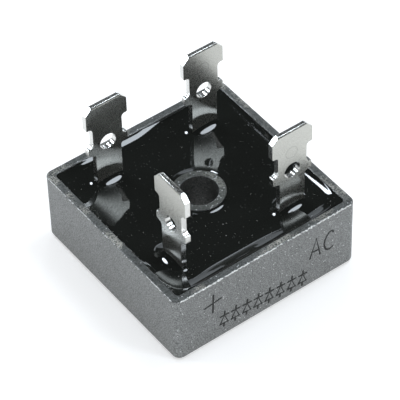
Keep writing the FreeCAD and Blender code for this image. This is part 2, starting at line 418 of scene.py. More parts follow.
def build_specks():
    tree, given, made = new_tree(
        "specks", "ShaderNodeTree",
        {"Place": (PLACE, None), "Cells": (NUMBER, 2500.0), "Share": (NUMBER, 0.1),
         "Radius": (NUMBER, 0.25)},
        {"Mask": NUMBER},
    )
    cells = add_node(tree, "ShaderNodeTexVoronoi",
                     {"Vector": given.outputs["Place"], "Scale": given.outputs["Cells"]})
    core = calculate(tree, "LESS_THAN", cells.outputs["Distance"], given.outputs["Radius"])
    draw = add_node(tree, "ShaderNodeSeparateColor", {"Color": cells.outputs["Color"]}).outputs[0]
    picked = calculate(tree, "LESS_THAN", draw, given.outputs["Share"])
    tree.links.new(calculate(tree, "MULTIPLY", core, picked), made.inputs["Mask"])
    return tree


specks_group = build_specks()
print("group:", specks_group.name)

# %% [markdown]
# The cup is cast metal, blasted to an even satin grey. Up close it sparkles in tiny points. The
# base tone is set once and the grain moves it a little either way; rare bright specks in the base
# colour are painted glints, standing in for crystal faces that catch the light. The same recipe,
# with other values, gives the rim and the ring of the boss. They were cut flat after the blasting
# and face up; their darker colour is painted shade, and handling has rubbed them bright in patches.

# %% Mix the blasted metal
BLASTED_GRAIN = {"Fine": 5600.0, "Coarse": 1500.0, "Contrast": 3.1}
GLINT_SPECKS = {"Cells": 4300.0, "Radius": 0.34}
PAINTED_GLINT_COLOUR = (0.62, 0.63, 0.63, 1)
RUBBED_COLOUR = (0.50, 0.48, 0.43, 1)
RUBBED_PATCHES = 230.0
PATCH_EDGE = (0.52, 0.64)
RUBBED_PEAKS = (0.44, 0.56)
BLASTED_METALLIC = 0.85
BLASTED_ROUGHNESS = (0.62, 0.44)
BLASTED_BUMP = 0.6
BLASTED_DEPTH = 0.03 * MM


def mix_blasted_metal(name, colour, glint_share, rubbed):
    material, tree, shader, place = new_material(name)
    grain = place_group(tree, grain_group, dict(BLASTED_GRAIN, Place=place))
    glint = place_group(tree, specks_group, dict(GLINT_SPECKS, Place=place, Share=glint_share))
    height = grain.outputs["Height"]
    patch = between(tree, noise(tree, place, RUBBED_PATCHES), *PATCH_EDGE)
    bare = calculate(tree, "MULTIPLY", patch, between(tree, height, *RUBBED_PEAKS))
    bare = calculate(tree, "MULTIPLY", bare, rubbed)
    body = blend_colours(tree, bare, tint(tree, colour, grain.outputs["Tone"]), RUBBED_COLOUR)
    # Painted glints: rare bright specks laid into the base colour.
    body = blend_colours(tree, glint.outputs["Mask"], body, PAINTED_GLINT_COLOUR)
    tree.links.new(body, shader.inputs["Base Color"])
    shader.inputs["Metallic"].default_value = BLASTED_METALLIC
    tree.links.new(rough_by_grain(tree, height, *BLASTED_ROUGHNESS), shader.inputs["Roughness"])
    tree.links.new(bump(tree, height, BLASTED_BUMP, BLASTED_DEPTH), shader.inputs["Normal"])
    return material


blasted_metal = mix_blasted_metal("blasted_metal", (0.225, 0.232, 0.230), glint_share=0.055,
                                  rubbed=0.0)
# The rim and the boss ring face up: their darker base colours are painted shade, their rubbed
# patches real wear.
cut_rim = mix_blasted_metal("cut_rim", (0.120, 0.124, 0.120), glint_share=0.05, rubbed=0.75)
boss_ring = mix_blasted_metal("boss_ring", (0.105, 0.108, 0.100), glint_share=0.16, rubbed=0.30)
print("materials:", blasted_metal.name, cut_rim.name, boss_ring.name)

# %% [markdown]
# The resin is poured hot and cures with a skin like glass: nearly black, very smooth, and a touch
# wavy. Dust that fell on it before it set shows as pale pinpoints. A clean dark plastic with a low
# roughness does the rest, because almost all that one sees of it is reflection.

# %% Mix the resin
FINE_DIRT = {"Cells": 3600.0, "Share": 0.10, "Radius": 0.22}
FINE_DIRT_STRENGTH = 0.35
LINT = {"Cells": 1100.0, "Share": 0.06, "Radius": 0.10}
RESIN_COLOUR = (0.0075, 0.0085, 0.0075, 1)
DIRT_COLOUR = (0.10, 0.10, 0.095, 1)
RESIN_ROUGH = 0.04
DIRT_ROUGH = 0.5
RESIN_IOR = 1.52
RESIN_WAVES = 260.0
RESIN_WAVE_BUMP = 0.15
RESIN_WAVE_DEPTH = 0.05 * MM


def mix_resin():
    material, tree, shader, place = new_material("black_resin")
    dust = place_group(tree, specks_group, dict(FINE_DIRT, Place=place)).outputs["Mask"]
    lint = place_group(tree, specks_group, dict(LINT, Place=place)).outputs["Mask"]
    dirt = calculate(tree, "MAXIMUM", calculate(tree, "MULTIPLY", dust, FINE_DIRT_STRENGTH), lint)
    tree.links.new(blend_colours(tree, dirt, RESIN_COLOUR, DIRT_COLOUR),
                   shader.inputs["Base Color"])
    rough = calculate(tree, "ADD", calculate(tree, "MULTIPLY", dirt, DIRT_ROUGH), RESIN_ROUGH)
    tree.links.new(rough, shader.inputs["Roughness"])
    shader.inputs["IOR"].default_value = RESIN_IOR
    wave = noise(tree, place, RESIN_WAVES, detail=1.0, roughness=0.4)
    tree.links.new(bump(tree, wave, RESIN_WAVE_BUMP, RESIN_WAVE_DEPTH), shader.inputs["Normal"])
    return material


black_resin = mix_resin()
print("material:", black_resin.name)

# %% [markdown]
# A pin of the punch has left a faint ring on each blade, never quite in the same place. It is far
# too shallow to model, so its groove's shade is painted: a group masks it, and the mask is one
# where the distance from the ring's middle comes to the ring's radius.

# %% Build the pin ring shade group
PIN_RING_RADIUS = 0.9 * MM
PIN_RING_WIDTH = 0.07 * MM
PIN_RING_EDGE = (0.3, 1.0)
PIN_RING_ACROSS = {"ac_2": -0.14 * MM, "negative": -0.06 * MM, "positive": 0.18 * MM,
                   "ac_1": -0.10 * MM}
PIN_RING_HEIGHT = {"ac_2": 20.15 * MM, "negative": 20.75 * MM, "positive": 20.35 * MM,
                   "ac_1": 20.5 * MM}


def ring_middle(end):
    """The middle of one blade's ring, on the face that is turned to the camera."""
    x, y = mounts[f"blade_{end}"]["pos_m"][:2]
    if end == TURNED_BLADE:
        place = (x - BLADE_HALF_THICKNESS, y + PIN_RING_ACROSS[end])
    else:
        place = (x + PIN_RING_ACROSS[end], y - BLADE_HALF_THICKNESS)
    return (*place, PIN_RING_HEIGHT[end])


def build_pin_ring_shade():
    tree, given, made = new_tree(
        "pin_mark", "ShaderNodeTree",
        {"Place": (PLACE, None), "Middle": (PLACE, None), "Radius": (NUMBER, 0.001),
         "Width": (NUMBER, 0.0001)},
        {"Mask": NUMBER},
    )
    away = add_node(tree, "ShaderNodeVectorMath",
                    {0: given.outputs["Place"], 1: given.outputs["Middle"]},
                    operation="DISTANCE").outputs["Value"]
    off = calculate(tree, "ABSOLUTE", calculate(tree, "SUBTRACT", away, given.outputs["Radius"]))
    share = calculate(tree, "DIVIDE", off, given.outputs["Width"])
    tree.links.new(between(tree, share, *PIN_RING_EDGE, 1.0, 0.0), made.inputs["Mask"])
    return tree


pin_ring_shade_group = build_pin_ring_shade()
pin_rings = [ring_middle(end) for end in PIN_RING_ACROSS]
print("group:", pin_ring_shade_group.name, "rings:", len(pin_rings))

# %% [markdown]
# The blades are copper alloy with a thin tin plate. The flat faces are rolled smooth and take a
# fine pebble from the plating bath, and a strip cut this narrow keeps a slight bow, which tilts its
# reflections a little. The sheared edges are cut, not rolled: brighter, and more uneven. Pebble and
# bow are both heights in metres here, so one Bump node at full strength turns them into slopes.

# %% Mix the plated metal
PLATE_GRAIN = {"Fine": 9000.0, "Coarse": 420.0, "Contrast": 0.45}
PIN_RING_SHADE_COLOUR = (0.05, 0.05, 0.05, 1)
PIN_RING_SHADE_STRENGTH = 0.30
BLADE_BOW = math.tan(math.radians(2.0))


def mix_plate(name, colour, metallic, roughness, grain_depth, bow=0.0, rings=()):
    material, tree, shader, place = new_material(name)
    grain = place_group(tree, grain_group, dict(PLATE_GRAIN, Place=place))
    body = tint(tree, colour, grain.outputs["Tone"])
    for middle in rings:
        ring = place_group(tree, pin_ring_shade_group, {"Place": place, "Middle": middle,
                                                  "Radius": PIN_RING_RADIUS,
                                                  "Width": PIN_RING_WIDTH})
        # Painted shade: the plate is darkened along the shallow groove of the ring.
        share = calculate(tree, "MULTIPLY", ring.outputs["Mask"], PIN_RING_SHADE_STRENGTH)
        body = blend_colours(tree, share, body, PIN_RING_SHADE_COLOUR)
    tree.links.new(body, shader.inputs["Base Color"])
    shader.inputs["Metallic"].default_value = metallic
    rough = rough_by_grain(tree, grain.outputs["Height"], *roughness)
    tree.links.new(rough, shader.inputs["Roughness"])
    up = add_node(tree, "ShaderNodeSeparateXYZ", {"Vector": place}).outputs["Z"]
    pits = calculate(tree, "MULTIPLY", grain.outputs["Height"], grain_depth)
    relief = calculate(tree, "ADD", pits, calculate(tree, "MULTIPLY", up, bow))
    tree.links.new(bump(tree, relief, 1.0, 1.0), shader.inputs["Normal"])
    return material


plated_face = mix_plate("plated_face", (0.50, 0.50, 0.465), metallic=0.95, roughness=(0.22, 0.32),
                        grain_depth=0.001 * MM, bow=BLADE_BOW, rings=pin_rings)
plated_edge = mix_plate("plated_edge", (0.66, 0.66, 0.64), metallic=1.0, roughness=(0.16, 0.30),
                        grain_depth=0.0012 * MM)
print("materials:", plated_face.name, plated_edge.name)

# %% [markdown]
# The pieces under the resin never show, but they are part of the object, and someone may cut the
# model open. So each gets its own plain finish: rolled copper, dull solder, polished silicon and
# white ceramic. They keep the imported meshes.

# %% Mix the finishes of the inner pieces
PLAIN_GRAIN = {"Fine": 3000.0, "Coarse": 400.0}


def mix_plain(name, colour, metallic, roughness, contrast):
    material, tree, shader, place = new_material(name)
    grain = place_group(tree, grain_group, dict(PLAIN_GRAIN, Place=place, Contrast=contrast))
    tree.links.new(tint(tree, colour, grain.outputs["Tone"]), shader.inputs["Base Color"])
    shader.inputs["Metallic"].default_value = metallic
    shader.inputs["Roughness"].default_value = roughness
    return material


rolled_copper = mix_plain("rolled_copper", (0.72, 0.40, 0.27), metallic=1.0, roughness=0.32,
                          contrast=0.4)
dull_solder = mix_plain("dull_solder", (0.55, 0.55, 0.56), metallic=1.0, roughness=0.45,
                        contrast=0.5)
polished_silicon = mix_plain("polished_silicon", (0.09, 0.09, 0.11), metallic=0.6, roughness=0.12,
                             contrast=0.2)
white_ceramic = mix_plain("white_ceramic", (0.82, 0.81, 0.77), metallic=0.0, roughness=0.55,
                          contrast=0.15)

NODE_FINISHES = {
    "plate_": rolled_copper,
    "strap_": rolled_copper,
    "solder_": dull_solder,
    "diode_chip": polished_silicon,
    "insulator": white_ceramic,
    "case": blasted_metal,
    "potting": black_resin,
    "terminal_": plated_face,
}


def finish_nodes():
    """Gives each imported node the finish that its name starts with."""
    for name, node in frame["nodes"].items():
        finish = next(value for start, value in NODE_FINISHES.items() if name.startswith(start))
        node.data.materials.clear()
        node.data.materials.append(finish)


finish_nodes()
print("finished nodes:", len(frame["nodes"]))

# %% [markdown]
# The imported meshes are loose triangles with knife-sharp edges. Real stamped and cast edges are
# never that sharp, and the thin bright line along an edge is what makes metal look real. So the
# visible pieces are copies: merged, cleared of needless edges, and given a fine rounded bevel. The
# normals are then weighted by area, so that large faces stay flat and only the bevels turn.

# %% Copy, merge and bevel a node
SHARP = math.radians(30)
NEARLY_FLAT = math.radians(0.5)
SAME_PLACE = 0.0005 * MM
BEVEL_SEGMENTS = 2


def merged_copy(node_name, piece_name):
    """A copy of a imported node's mesh with its doubles merged and its flat faces joined."""
    mesh = frame["nodes"][node_name].data.copy()
    mesh.name = piece_name
    mesh.materials.clear()
    work = bmesh.new()
    work.from_mesh(mesh)
    bmesh.ops.remove_doubles(work, verts=work.verts, dist=SAME_PLACE)
    bmesh.ops.dissolve_limit(work, angle_limit=NEARLY_FLAT, verts=work.verts, edges=work.edges)
    work.to_mesh(mesh)
    work.free()
    if "custom_normal" in mesh.attributes:
        mesh.attributes.remove(mesh.attributes["custom_normal"])
    return stand(piece_name, mesh)


def apply_modifiers(piece):
    """Turns the piece's evaluated shape into its own plain mesh."""
    ready = piece.evaluated_get(bpy.context.evaluated_depsgraph_get())
    mesh = bpy.data.meshes.new_from_object(ready)
    piece.modifiers.clear()
    piece.data = mesh


def bevel_edges(piece, width):
    """Rounds every sharp edge of a piece by this width, with smooth shading."""
    piece.data.shade_smooth()
    piece.data.set_sharp_from_angle(angle=SHARP)
    bevel = piece.modifiers.new("fine_bevel", "BEVEL")
    bevel.width = width
    bevel.segments = BEVEL_SEGMENTS
    bevel.limit_method = "ANGLE"
    bevel.angle_limit = SHARP
    even = piece.modifiers.new("even_normals", "WEIGHTED_NORMAL")
    even.keep_sharp = True
    apply_modifiers(piece)


def settle(piece, node_name):
    """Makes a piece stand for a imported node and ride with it."""
    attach(piece, "root")
    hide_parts(node_name)
    return piece


print("bevel helpers ready")

# %% [markdown]
# Each blade has two finishes: rolled faces and sheared edges. Which is which follows from the way
# a face points, so the faces are sorted by their normals before the bevel rounds them off.

# %% Dress the blades
BLADE_EDGE_ROUND = 0.05 * MM
ALONG_SHEET = 0.5


def dress_blade(end):
    """Finish 0 is the rolled face, finish 1 the sheared edge."""
    piece = merged_copy(f"terminal_{end}", f"blade_{end}")
    piece.data.materials.append(plated_face)
    piece.data.materials.append(plated_edge)
    facing = 0 if end == TURNED_BLADE else 1
    for face in piece.data.polygons:
        face.material_index = 0 if abs(face.normal[facing]) > ALONG_SHEET else 1
    bevel_edges(piece, BLADE_EDGE_ROUND)
    return settle(piece, f"terminal_{end}")


blades = [dress_blade(end) for end in BLADE_ENDS]
print("blade faces:", [len(blade.data.polygons) for blade in blades])

# %% [markdown]
# The cup's rim was cut with a small break on its edges. A slight bevel rounds that break, so that
# the rim catches a line of light along its whole length. The flat faces near the top are the rim
# and the ring of the boss, which face up and get darker copies of the blasted metal: painted shade.

# %% Dress the cup
CUP_EDGE_ROUND = 0.05 * MM
FACES_UP = 0.9
CUT_DEPTH = 1 * MM
BOSS_REGION = 5 * MM


def cup_finish(face, points):
    """0 for the blasted sides, 1 for the cut rim, 2 for the ring of the boss; 1 and 2 carry painted
    shade.
    """
    if face.normal.z < FACES_UP or face.center.z < rim_height - CUT_DEPTH:
        return 0
    reach = max(points[index].co.xy.length for index in face.vertices)
    return 2 if reach < BOSS_REGION else 1


def dress_cup():
    piece = merged_copy(CUP, "metal_cup")
    for finish in (blasted_metal, cut_rim, boss_ring):
        piece.data.materials.append(finish)
    for face in piece.data.polygons:
        face.material_index = cup_finish(face, piece.data.vertices)
    bevel_edges(piece, CUP_EDGE_ROUND)
    return settle(piece, CUP)


cup = dress_cup()
print("cup faces:", len(cup.data.polygons))

# %% [markdown]
# The resin's top is not flat. While it was liquid it crept up whatever it touched, and its skin
# took the shape that surface tension gives to every small pool: the higher it stands over the
# level, the harder it curves back. That rule can be solved, and then every highlight falls where
# the real pool has it. First the pool is cut into a grid. Its lines crowd together near the walls
# and the blades, where the skin bends most, and they fall exactly on the blades' faces.

# %% Cut the pool into a grid
GRID_LINES = 290
FINE_LINES = 6000
CROWD_SPREAD = 0.5 * MM
CROWD_EXTRA = 1.8
STEM_HALF_WIDTH = 2.0 * MM


def stem_box(end):
    """Lowest and highest x, and lowest and highest y, of one blade's stem."""
    x, y = mounts[f"blade_{end}"]["pos_m"][:2]
    half_x, half_y = STEM_HALF_WIDTH, BLADE_HALF_THICKNESS
    if end == TURNED_BLADE:
        half_x, half_y = half_y, half_x
    return x - half_x, x + half_x, y - half_y, y + half_y


def crowded_lines(spots):
    """Places for grid lines across the pocket, closer together near the given spots."""
    fine = np.linspace(-pocket_half, pocket_half, FINE_LINES)
    density = np.ones_like(fine)
    for spot in spots:
        density += CROWD_EXTRA * np.exp(-((fine - spot) / CROWD_SPREAD) ** 2)
    total = np.concatenate([[0], np.cumsum((density[1:] + density[:-1]) / 2)])
    lines = np.interp(np.linspace(0, total[-1], GRID_LINES), total, fine)
    for spot in spots:
        lines[np.abs(lines - spot).argmin()] = spot
    return lines


stem_boxes = [stem_box(end) for end in BLADE_ENDS]
walls = [-pocket_half, pocket_half]
lines_x = crowded_lines(walls + [side for box in stem_boxes for side in box[:2]])
lines_y = crowded_lines(walls + [side for box in stem_boxes for side in box[2:]])
print("finest spacing in mm:", round(np.diff(lines_x).min() / MM, 3))

# %% [markdown]
# Each square of the grid is either wet or inside a stem. Wherever a wet square ends, a wall or a
# stem drags the skin's edge up, with a grip between 0 and 1. Cast walls don't grip evenly, so the
# grip changes along the back wall and the left wall. It was chosen so that each highlight starts
# and ends where the real one does.

# %% Find how hard the walls pull
WALL_GRIPS = {"right": 0.50, "front": 0.50}
BACK_GRIP_AT = [-11 * MM, -9 * MM, -0.5 * MM, 3.6 * MM]
BACK_GRIPS = [0.28, 0.50, 0.50, 0.30]
LEFT_GRIP_AT = [-12.5 * MM, -8 * MM]
LEFT_GRIPS = [0.50, 0.38]
STEM_GRIP = 0.58


def wet_squares():
    """Which squares of the grid hold resin."""
    x = (lines_x[1:] + lines_x[:-1]) / 2
    y = ((lines_y[1:] + lines_y[:-1]) / 2)[:, None]
    wet = np.ones((len(lines_y) - 1, len(lines_x) - 1), bool)
    for x_low, x_high, y_low, y_high in stem_boxes:
        wet &= ~((x > x_low) & (x < x_high) & (y > y_low) & (y < y_high))
    return wet


def add_to_neighbours(points, share, axis, first_sign=1):
    """Adds a share to the two grid points at the ends of each step along an axis."""
    if axis == 0:
        points[:-1] += first_sign * share
        points[1:] += share
    else:
        points[:, :-1] += first_sign * share
        points[:, 1:] += share


def edge_pull(wet, dx, dy):
    """How hard the walls and stems drag each point of their edges up."""
    pull = np.zeros((len(lines_y), len(lines_x)))
    edge = np.diff(np.pad(wet, ((1, 1), (0, 0))).astype(int), axis=0) != 0
    grip = np.full(edge.shape, STEM_GRIP)
    grip[0] = WALL_GRIPS["front"]
    grip[-1] = np.interp((lines_x[1:] + lines_x[:-1]) / 2, BACK_GRIP_AT, BACK_GRIPS)
    add_to_neighbours(pull, edge * grip * dx[None, :] / 2, axis=1)
    edge = np.diff(np.pad(wet, ((0, 0), (1, 1))).astype(int), axis=1) != 0
    grip = np.full(edge.shape, STEM_GRIP)
    grip[:, 0] = np.interp((lines_y[1:] + lines_y[:-1]) / 2, LEFT_GRIP_AT, LEFT_GRIPS)
    grip[:, -1] = WALL_GRIPS["right"]
    add_to_neighbours(pull, edge * grip * dy[:, None] / 2, axis=0)
    return pull


wet = wet_squares()
wall_pull = edge_pull(wet, np.diff(lines_x), np.diff(lines_y))
print("wet squares:", int(wet.sum()), "of", wet.size)

# %% [markdown]
# Inside the pool two things hold the skin back. It pulls along the lines between points, less for
# each step of height where it is already steep, and its weight pulls each point down. So for a
# trial shape one can say how hard it pushes back at each point.

# %% Find how hard a shape pushes back
CAPILLARY_LENGTH = 1.6 * MM


def sum_to_points(squares):
    """Adds up, at each grid point, the values of the four squares round it."""
    wide = np.pad(squares, 1)
    return wide[1:, 1:] + wide[:-1, 1:] + wide[1:, :-1] + wide[:-1, :-1]


def skin_weight(wet, dx, dy):
    """What the liquid under each grid point weighs for each step of height."""
    return sum_to_points(wet * dx[None, :] * dy[:, None] / 4) / CAPILLARY_LENGTH ** 2


def skin_pulls(skin, wet, dx, dy):
    """How hard the skin pulls along each step in x and in y. It pulls less where it is steep."""
    slope_x = np.diff((skin[1:] + skin[:-1]) / 2, axis=1) / dx[None, :]
    slope_y = np.diff((skin[:, 1:] + skin[:, :-1]) / 2, axis=0) / dy[:, None]
    stiff = wet / np.sqrt(1 + slope_x ** 2 + slope_y ** 2)
    across = np.pad(stiff * dy[:, None] / 2, ((1, 1), (0, 0)))
    along_x = (across[1:] + across[:-1]) / dx[None, :]
    across = np.pad(stiff * dx[None, :] / 2, ((0, 0), (1, 1)))
    along_y = (across[:, 1:] + across[:, :-1]) / dy[:, None]
    return along_x, along_y


def push_back(shape, weight, along_x, along_y):
    """How hard a trial shape pushes back at each point: by its weight and by the skin's pulls."""
    out = weight * shape
    add_to_neighbours(out, along_x * np.diff(shape, axis=1), axis=1, first_sign=-1)
    add_to_neighbours(out, along_y * np.diff(shape, axis=0), axis=0, first_sign=-1)
    return out


weight = skin_weight(wet, np.diff(lines_x), np.diff(lines_y))
print("heaviest point over lightest wet one:", round(weight.max() / weight[weight > 0].min(), 1))

# %% [markdown]
# The settled skin is the shape that pushes back just as hard as the walls pull: one large set of
# equations, with an unknown height for each grid point. Its matrix is never written out, because
# the method of conjugate gradients only asks how hard a trial shape pushes back. The pulls depend
# on the slopes, so the balance is found a few times over, with the slopes of the last try.

# %% Let the skin settle
SETTLE_ROUNDS = 6
SETTLE_STEPS = 260


def balance(skin, pull, weight, along_x, along_y):
    """The shape that pushes back as hard as the walls pull, by conjugate gradients."""
    scale = weight.copy()
    add_to_neighbours(scale, along_x, axis=1)
    add_to_neighbours(scale, along_y, axis=0)
    scale[scale == 0] = 1
    left = pull - push_back(skin, weight, along_x, along_y)
    ready = left / scale
    step = ready.copy()
    strength = (left * ready).sum()
    for _ in range(SETTLE_STEPS):
        pushed = push_back(step, weight, along_x, along_y)
        amount = strength / (step * pushed).sum()
        skin = skin + amount * step
        left = left - amount * pushed
        ready = left / scale
        fresh = (left * ready).sum()
        step = ready + step * (fresh / strength)
        strength = fresh
    return skin


def settle_skin():
    """Height of the resin's skin over its level, at each grid point."""
    skin = np.zeros_like(weight)
    for _ in range(SETTLE_ROUNDS):
        pulls = skin_pulls(skin, wet, np.diff(lines_x), np.diff(lines_y))
        skin = balance(skin, wall_pull, weight, *pulls)
    return skin


skin = settle_skin()
print("highest creep in mm:", round(skin.max() / MM, 2))

# %% [markdown]
# The boss is round, so its low collar of resin is added by a formula instead. In a sharp corner
# the skin would climb past the rim, so near the walls it is bent gently under it. Points inside
# the boss are pulled out to its circle, and points past the pocket's rounded corners are pulled in
# to them.

# %% Pour the resin
POCKET_CORNER = 0.5 * MM
BOSS_RADIUS = 3.59 * MM
BOSS_CLIMB = 0.34 * MM
BOSS_REACH = 0.52 * MM
WALL_BEND_START = 0.84 * MM
WALL_BEND_ROOM = 0.09 * MM
WALL_ZONE = 2.5 * MM
NO_LENGTH = 1e-9


def bend_under(height, start, room):
    """Leaves low heights alone and eases higher ones in under start + room."""
    return np.where(height > start, start + room * np.tanh((height - start) / room), height)


def grid_squares(keep):
    """Corner numbers of the grid squares to keep."""
    rows, columns = np.nonzero(keep)
    first = rows * GRID_LINES + columns
    return np.stack([first, first + 1, first + 1 + GRID_LINES, first + GRID_LINES], axis=1)


def boss_collar(out):
    """How much the resin climbs the boss, at this distance from its middle."""
    return BOSS_CLIMB * np.exp(-np.maximum(out - BOSS_RADIUS, 0) / BOSS_REACH)


def round_corners(x, y):
    """Pulls the points of the square pocket's corners in to their rounds."""
    centre_x = np.sign(x) * (pocket_half - POCKET_CORNER)
    centre_y = np.sign(y) * (pocket_half - POCKET_CORNER)
    in_corner = (np.abs(x) > np.abs(centre_x)) & (np.abs(y) > np.abs(centre_y))
    away = np.hypot(x - centre_x, y - centre_y)
    square = np.maximum(np.abs(x - centre_x), np.abs(y - centre_y))
    pull = np.where(in_corner & (away > 0), square / np.maximum(away, NO_LENGTH), 1.0)
    return centre_x * (1 - pull) + x * pull, centre_y * (1 - pull) + y * pull


def pour_resin():
    x, y = np.meshgrid(lines_x, lines_y)
    near_wall = np.maximum(np.abs(x), np.abs(y)) > pocket_half - WALL_ZONE
    z = np.where(near_wall, bend_under(skin, WALL_BEND_START, WALL_BEND_ROOM), skin)
    out = np.hypot(x, y)
    inside = out < BOSS_RADIUS
    z = resin_level + z + boss_collar(out)
    stretch = np.where(inside, BOSS_RADIUS / np.maximum(out, NO_LENGTH), 1.0)
    x, y = round_corners(x * stretch, y * stretch)
    all_inside = inside[1:, 1:] & inside[:-1, 1:] & inside[1:, :-1] & inside[:-1, :-1]
    quads = grid_squares(wet & ~all_inside)
    points = np.stack([x.ravel(), y.ravel(), z.ravel()], axis=1)
    mesh = bpy.data.meshes.new("resin_fill")
    mesh.from_pydata(points.tolist(), [], quads.tolist())
    return stand("resin_fill", mesh)


resin = pour_resin()
print("resin quads:", len(resin.data.polygons))

# %% [markdown]
# Seen from outside only the top shows, but a piece should be closed. The open edges, one round the
# pocket and one round the boss, are drawn straight down to the cup's floor and capped there.

# %% Close the resin underneath
RESIN_WELD = 0.0002 * MM
RESIN_OVER_FLOOR = 0.01 * MM
RESIN_SHARP = math.radians(50)


def close_underneath(piece, floor_height):
    work = bmesh.new()
    work.from_mesh(piece.data)
    loose = [vert for vert in work.verts if not vert.link_faces]
    bmesh.ops.delete(work, geom=loose, context="VERTS")
    bmesh.ops.remove_doubles(work, verts=work.verts, dist=RESIN_WELD)
    rims = [edge for edge in work.edges if edge.is_boundary]
    drawn = bmesh.ops.extrude_edge_only(work, edges=rims)["geom"]
    for vert in drawn:
        if isinstance(vert, bmesh.types.BMVert):
            vert.co.z = floor_height
    low = [edge for edge in work.edges if edge.is_boundary]
    bmesh.ops.triangle_fill(work, edges=low, use_beauty=True)
    bmesh.ops.recalc_face_normals(work, faces=work.faces)
    work.to_mesh(piece.data)
    work.free()
    piece.data.shade_smooth()
    piece.data.set_sharp_from_angle(angle=RESIN_SHARP)


close_underneath(resin, resin_foot.z + RESIN_OVER_FLOOR)
resin.data.materials.append(black_resin)
settle(resin, RESIN)
print("resin faces:", len(resin.data.polygons))

# %% [markdown]
# What repeats is made by Geometry Nodes. A recipe is a node tree with named inputs; a piece gives
# it values, and the result is kept as a plain mesh, because instances and live modifiers are lost
# when the model is exported. Each recipe ends with Realize Instances and Set Material.

# %% Helpers for Geometry Nodes


def new_recipe(name, inputs):
    """A geometry tree that takes a shape, named inputs and a material, and gives a shape."""
    shape = "NodeSocketGeometry"
    inputs = {"Geometry": (shape, None), **inputs, "Material": ("NodeSocketMaterial", None)}
    return new_tree(name, "GeometryNodeTree", inputs, {"Geometry": shape})


def finish_recipe(tree, given, made, shape):
    """Ends a recipe: instances become real, shading and material are set."""
    real = add_node(tree, "GeometryNodeRealizeInstances", {"Geometry": shape})
    shaded = add_node(tree, "GeometryNodeSetShadeSmooth",
                      {"Geometry": real.outputs[0], "Shade Smooth": True})
    dressed = add_node(tree, "GeometryNodeSetMaterial",
                       {"Geometry": shaded.outputs[0], "Material": given.outputs["Material"]})
    tree.links.new(dressed.outputs[0], made.inputs["Geometry"])
    return tree


def random_number(tree, low, high, seed, extra=0.0):
    """A random number for each point. Draws with another extra differ from each other."""
    if extra:
        seed = calculate(tree, "ADD", seed, extra)
    node = add_node(tree, "FunctionNodeRandomValue", {2: low, 3: high, 8: seed},
                    data_type="FLOAT")
    return node.outputs[1]


def random_place(tree, reach, seed):
    """A random shift for each point, up to reach each way."""
    sides = add_node(tree, "FunctionNodeRandomValue", {0: (-1, -1, -1), 1: (1, 1, 1), 8: seed},
                     data_type="FLOAT_VECTOR").outputs[0]
    node = add_node(tree, "ShaderNodeVectorMath", {0: sides, 3: reach}, operation="SCALE")
    return node.outputs[0]


def position(tree):
    """Where each point is."""
    return tree.nodes.new("GeometryNodeInputPosition").outputs[0]


def cook(name, mesh, recipe, values):
    """Runs a recipe on a mesh and makes the result a piece of the part."""
    piece = stand(name, mesh)
    modifier = piece.modifiers.new(recipe.name, "NODES")
    modifier.node_group = recipe
    sockets = {item.name: item.identifier for item in recipe.interface.items_tree
               if item.in_out == "INPUT"}
    for label, value in values.items():
        modifier[sockets[label]] = value
    apply_modifiers(piece)
    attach(piece, "root")
    return piece


print("recipe helpers ready")

# %% [markdown]
# The marks on the front side were drawn by a pen plotter or an engraver: thin dark lines of one
# width with round ends. They are generic: + and AC for the two kinds of blade, and under them a
# plain row of diode symbols. A picture of them would be coarse up close, so every sign is a few
# straight lines in the plane of the side. The recipe runs a thin round tube along them, puts one
# ball on each corner so that the joints are round, and presses the whole flat until it is a skin
# of ink. Lines that share a corner share its ball.

# %% Build the recipe for ink lines
INK_WIDTH = 0.31 * MM
INK_FLATNESS = 0.10
TUBE_SIDES = 10
SAME_CORNER = 0.01 * MM
LINE_INPUTS = {"Width": (NUMBER, 0.0002), "Flatness": (NUMBER, 0.1), "Side": (NUMBER, 0.0)}


def build_ink_lines():
    tree, given, made = new_recipe("ink_lines", LINE_INPUTS)
    radius = calculate(tree, "DIVIDE", given.outputs["Width"], 2.0)
    lines = add_node(tree, "GeometryNodeMeshToCurve", {"Mesh": given.outputs["Geometry"]})
    ring = add_node(tree, "GeometryNodeCurvePrimitiveCircle",
                    {"Resolution": TUBE_SIDES, "Radius": radius})
    tubes = add_node(tree, "GeometryNodeCurveToMesh",
                     {"Curve": lines.outputs[0], "Profile Curve": ring.outputs[0],
                      "Fill Caps": True})
    ball = add_node(tree, "GeometryNodeMeshIcoSphere", {"Radius": radius, "Subdivisions": 2})
    corners = add_node(tree, "GeometryNodeMergeByDistance",
                       {"Geometry": given.outputs["Geometry"], "Distance": SAME_CORNER})
    balls = add_node(tree, "GeometryNodeInstanceOnPoints",
                     {"Points": corners.outputs[0], "Instance": ball.outputs[0]})
    both = add_node(tree, "GeometryNodeJoinGeometry")
    tree.links.new(tubes.outputs[0], both.inputs[0])
    tree.links.new(balls.outputs[0], both.inputs[0])
    real = add_node(tree, "GeometryNodeRealizeInstances", {"Geometry": both.outputs[0]})
    place = add_node(tree, "ShaderNodeSeparateXYZ", {"Vector": position(tree)})
    depth = calculate(tree, "SUBTRACT", place.outputs["Y"], given.outputs["Side"])
    thin = calculate(tree, "MULTIPLY", depth, given.outputs["Flatness"])
    flat = calculate(tree, "ADD", thin, given.outputs["Side"])
    pressed = add_node(tree, "ShaderNodeCombineXYZ",
                       {"X": place.outputs["X"], "Y": flat, "Z": place.outputs["Z"]})
    moved = add_node(tree, "GeometryNodeSetPosition",
                     {"Geometry": real.outputs[0], "Position": pressed.outputs[0]})
    return finish_recipe(tree, given, made, moved.outputs[0])


ink_recipe = build_ink_lines()
print("recipe:", ink_recipe.name)

# %% [markdown]
# The row repeats one symbol along a slanting line. A second recipe lays the copies out; the lines
# it gives then go through the first one.

# %% Build the recipe for a row of signs


